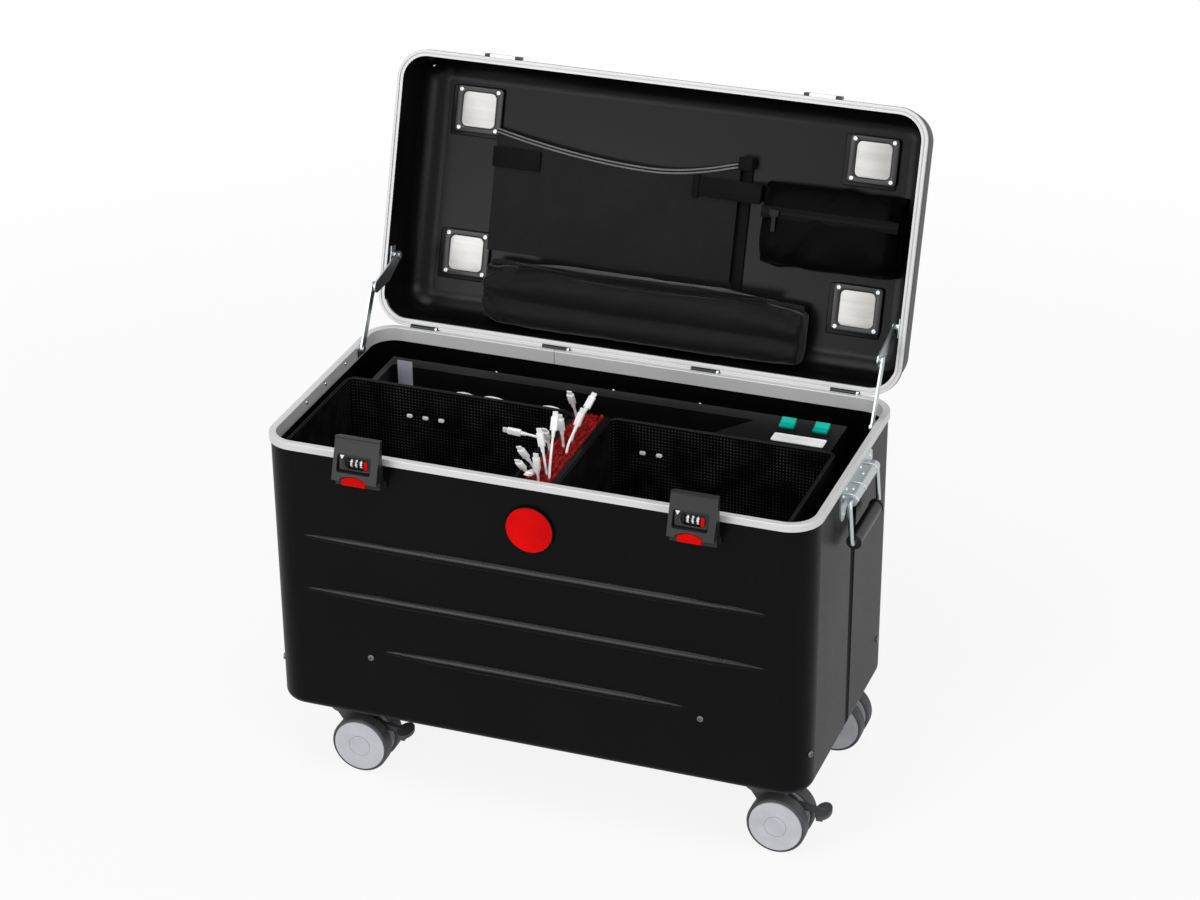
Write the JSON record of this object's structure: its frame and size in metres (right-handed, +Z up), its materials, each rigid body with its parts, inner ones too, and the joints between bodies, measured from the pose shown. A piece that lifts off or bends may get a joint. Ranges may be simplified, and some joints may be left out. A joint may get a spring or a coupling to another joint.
{
  "type": "tablet charging cart",
  "caption": "Rolling hard-shell case with a hinged lid, aluminium rims, combination locks, bail handles, braked casters, tablet compartments and a charging housing.",
  "frame": {"origin": "on the floor, under the middle of the case", "axes": "+Z up, -Y the front with the locks, +X the end with the switches"},
  "size_m": [0.743, 0.5691, 0.8114],
  "materials": {
    "case_plastic": "satin, finely grained",
    "rim_metal": "satin anodised",
    "red_plastic": "semi-gloss",
    "liner_foam": "cellular foam, matt",
    "black_plastic": "satin",
    "white_cable": "satin",
    "grey_webbing": "woven",
    "zinc": "zinc plated",
    "charcoal_plastic": "satin",
    "white_plastic": "satin",
    "teal_plastic": "semi-gloss",
    "grip_rubber": "matt",
    "wheel_rubber": "satin disc, matt tread",
    "pad_metal": "brushed",
    "pocket_leather": "grained",
    "bag_fabric": "woven nylon"
  },
  "bodies": {
    "case": {"body_shell": "case_plastic", "body_rim": "rim_metal", "badge_disc": "red_plastic", "left_tray": "liner_foam", "right_tray": "liner_foam", "centre_divider": "black_plastic", "cable_comb": "red_plastic", "charging_cables": "white_cable", "cable_plugs": "white_cable", "charging_housing": "black_plastic", "power_supply": "black_plastic", "mains_inlet": "black_plastic", "pull_tab": "grey_webbing", "lock_bases": "zinc", "handle_brackets": "zinc", "caster_plates": "zinc", "hinge_case_leaves": "zinc", "stay_case_brackets": "zinc"},
    "lid": {"lid_shell": "case_plastic", "lid_rim": "rim_metal", "lid_catches": "zinc", "hinge_lid_leaves": "zinc", "stay_lid_brackets": "zinc", "pad_frames": "black_plastic", "pad_plates": "pad_metal", "document_pocket": "pocket_leather", "zip_pouch": "bag_fabric", "cable_bag": "bag_fabric"},
    "zip_slider": {"zip_slider": "zinc"},
    "stay_lower_left": {"stay_lower_left": "zinc"},
    "stay_upper_left": {"stay_upper_left": "zinc"},
    "stay_lower_right": {"stay_lower_right": "zinc"},
    "stay_upper_right": {"stay_upper_right": "zinc"},
    "lock_flap_left": {"lock_flap_left": "charcoal_plastic"},
    "lock_button_left": {"lock_button_left": "red_plastic"},
    "number_dial_left_1": {"number_dial_left_1": "white_plastic"},
    "number_dial_left_2": {"number_dial_left_2": "white_plastic"},
    "number_dial_left_3": {"number_dial_left_3": "white_plastic"},
    "lock_flap_right": {"lock_flap_right": "charcoal_plastic"},
    "lock_button_right": {"lock_button_right": "red_plastic"},
    "number_dial_right_1": {"number_dial_right_1": "white_plastic"},
    "number_dial_right_2": {"number_dial_right_2": "white_plastic"},
    "number_dial_right_3": {"number_dial_right_3": "white_plastic"},
    "handle_left": {"handle_bail_left": "zinc", "handle_grip_left": "grip_rubber"},
    "handle_right": {"handle_bail_right": "zinc", "handle_grip_right": "grip_rubber"},
    "caster_fork_front_left": {"caster_fork_front_left": "black_plastic"},
    "wheels_front_left": {"wheels_front_left": "wheel_rubber"},
    "brake_pedal_front_left": {"brake_pedal_front_left": "black_plastic"},
    "caster_fork_front_right": {"caster_fork_front_right": "black_plastic"},
    "wheels_front_right": {"wheels_front_right": "wheel_rubber"},
    "brake_pedal_front_right": {"brake_pedal_front_right": "black_plastic"},
    "caster_fork_rear_left": {"caster_fork_rear_left": "black_plastic"},
    "wheels_rear_left": {"wheels_rear_left": "wheel_rubber"},
    "caster_fork_rear_right": {"caster_fork_rear_right": "black_plastic"},
    "wheels_rear_right": {"wheels_rear_right": "wheel_rubber"},
    "rocker_switch_1": {"rocker_switch_1": "teal_plastic"},
    "rocker_switch_2": {"rocker_switch_2": "teal_plastic"}
  },
  "joints": [
    {"name": "lid_hinge", "type": "hinge", "parent": "case", "child": "lid", "pos_m": [0, 0.178, 0.4702], "axis": [1, 0, 0], "range_deg": [0, 107.8]},
    {"name": "zip_slide", "type": "slide", "parent": "lid", "child": "zip_slider", "axis": [1, 0, 0], "range_m": [0, 0.145]},
    {"name": "stay_lower_left_pivot", "type": "hinge", "parent": "case", "child": "stay_lower_left", "pos_m": [-0.3375, 0.106, 0.464], "axis": [1, 0, 0], "range_deg": [0, 127.02]},
    {"name": "stay_upper_left_pivot", "type": "hinge", "parent": "lid", "child": "stay_upper_left", "pos_m": [-0.3326, 0.21888, 0.54845], "axis": [1, 0, 0], "range_deg": [-94.24, 0]},
    {"name": "stay_lower_right_pivot", "type": "hinge", "parent": "case", "child": "stay_lower_right", "pos_m": [0.3375, 0.106, 0.464], "axis": [1, 0, 0], "range_deg": [0, 127.02]},
    {"name": "stay_upper_right_pivot", "type": "hinge", "parent": "lid", "child": "stay_upper_right", "pos_m": [0.3326, 0.21888, 0.54845], "axis": [1, 0, 0], "range_deg": [-94.24, 0]},
    {"name": "lock_flap_left_pivot", "type": "hinge", "parent": "case", "child": "lock_flap_left", "pos_m": [-0.211, -0.184, 0.4365], "axis": [1, 0, 0], "range_deg": [0, 90]},
    {"name": "lock_button_left_press", "type": "slide", "parent": "lock_flap_left", "child": "lock_button_left", "axis": [0, 1, 0], "range_m": [0, 0.0025], "stiffness_N_per_m": 300},
    {"name": "number_dial_left_1_turn", "type": "hinge", "parent": "lock_flap_left", "child": "number_dial_left_1", "pos_m": [-0.2172, -0.1936, 0.468], "axis": [1, 0, 0], "continuous": true},
    {"name": "number_dial_left_2_turn", "type": "hinge", "parent": "lock_flap_left", "child": "number_dial_left_2", "pos_m": [-0.211, -0.1936, 0.468], "axis": [1, 0, 0], "continuous": true},
    {"name": "number_dial_left_3_turn", "type": "hinge", "parent": "lock_flap_left", "child": "number_dial_left_3", "pos_m": [-0.2048, -0.1936, 0.468], "axis": [1, 0, 0], "continuous": true},
    {"name": "lock_flap_right_pivot", "type": "hinge", "parent": "case", "child": "lock_flap_right", "pos_m": [0.211, -0.184, 0.4365], "axis": [1, 0, 0], "range_deg": [0, 90]},
    {"name": "lock_button_right_press", "type": "slide", "parent": "lock_flap_right", "child": "lock_button_right", "axis": [0, 1, 0], "range_m": [0, 0.0025], "stiffness_N_per_m": 300},
    {"name": "number_dial_right_1_turn", "type": "hinge", "parent": "lock_flap_right", "child": "number_dial_right_1", "pos_m": [0.2048, -0.1936, 0.468], "axis": [1, 0, 0], "continuous": true},
    {"name": "number_dial_right_2_turn", "type": "hinge", "parent": "lock_flap_right", "child": "number_dial_right_2", "pos_m": [0.211, -0.1936, 0.468], "axis": [1, 0, 0], "continuous": true},
    {"name": "number_dial_right_3_turn", "type": "hinge", "parent": "lock_flap_right", "child": "number_dial_right_3", "pos_m": [0.2172, -0.1936, 0.468], "axis": [1, 0, 0], "continuous": true},
    {"name": "handle_left_pivot", "type": "hinge", "parent": "case", "child": "handle_left", "pos_m": [-0.358, 0, 0.444], "axis": [0, 1, 0], "range_deg": [0, 95]},
    {"name": "handle_right_pivot", "type": "hinge", "parent": "case", "child": "handle_right", "pos_m": [0.358, 0, 0.444], "axis": [0, -1, 0], "range_deg": [0, 95]},
    {"name": "caster_front_left_swivel", "type": "hinge", "parent": "case", "child": "caster_fork_front_left", "pos_m": [-0.275, -0.122, 0.09], "axis": [0, 0, 1], "continuous": true},
    {"name": "wheels_front_left_roll", "type": "hinge", "parent": "caster_fork_front_left", "child": "wheels_front_left", "pos_m": [-0.248, -0.122, 0.0375], "axis": [0, 1, 0], "continuous": true},
    {"name": "brake_pedal_front_left_press", "type": "hinge", "parent": "caster_fork_front_left", "child": "brake_pedal_front_left", "pos_m": [-0.237, -0.122, 0.058], "axis": [0, 1, 0], "range_deg": [0, 12]},
    {"name": "caster_front_right_swivel", "type": "hinge", "parent": "case", "child": "caster_fork_front_right", "pos_m": [0.275, -0.122, 0.09], "axis": [0, 0, 1], "continuous": true},
    {"name": "wheels_front_right_roll", "type": "hinge", "parent": "caster_fork_front_right", "child": "wheels_front_right", "pos_m": [0.302, -0.122, 0.0375], "axis": [0, 1, 0], "continuous": true},
    {"name": "brake_pedal_front_right_press", "type": "hinge", "parent": "caster_fork_front_right", "child": "brake_pedal_front_right", "pos_m": [0.313, -0.122, 0.058], "axis": [0, 1, 0], "range_deg": [0, 12]},
    {"name": "caster_rear_left_swivel", "type": "hinge", "parent": "case", "child": "caster_fork_rear_left", "pos_m": [-0.275, 0.122, 0.09], "axis": [0, 0, 1], "continuous": true},
    {"name": "wheels_rear_left_roll", "type": "hinge", "parent": "caster_fork_rear_left", "child": "wheels_rear_left", "pos_m": [-0.248, 0.122, 0.0375], "axis": [0, 1, 0], "continuous": true},
    {"name": "caster_rear_right_swivel", "type": "hinge", "parent": "case", "child": "caster_fork_rear_right", "pos_m": [0.275, 0.122, 0.09], "axis": [0, 0, 1], "continuous": true},
    {"name": "wheels_rear_right_roll", "type": "hinge", "parent": "caster_fork_rear_right", "child": "wheels_rear_right", "pos_m": [0.302, 0.122, 0.0375], "axis": [0, 1, 0], "continuous": true},
    {"name": "rocker_switch_1_rock", "type": "hinge", "parent": "case", "child": "rocker_switch_1", "pos_m": [0.23, 0.11, 0.448], "axis": [-1, 0, 0], "range_deg": [0, 32]},
    {"name": "rocker_switch_2_rock", "type": "hinge", "parent": "case", "child": "rocker_switch_2", "pos_m": [0.273, 0.11, 0.448], "axis": [-1, 0, 0], "range_deg": [0, 32]}
  ],
  "couplings": [
    {"joint": "stay_lower_left_pivot", "follows": "lid_hinge", "ratio": 1.1737},
    {"joint": "stay_upper_left_pivot", "follows": "lid_hinge", "ratio": -0.8696},
    {"joint": "stay_lower_right_pivot", "follows": "lid_hinge", "ratio": 1.1737},
    {"joint": "stay_upper_right_pivot", "follows": "lid_hinge", "ratio": -0.8696}
  ]
}
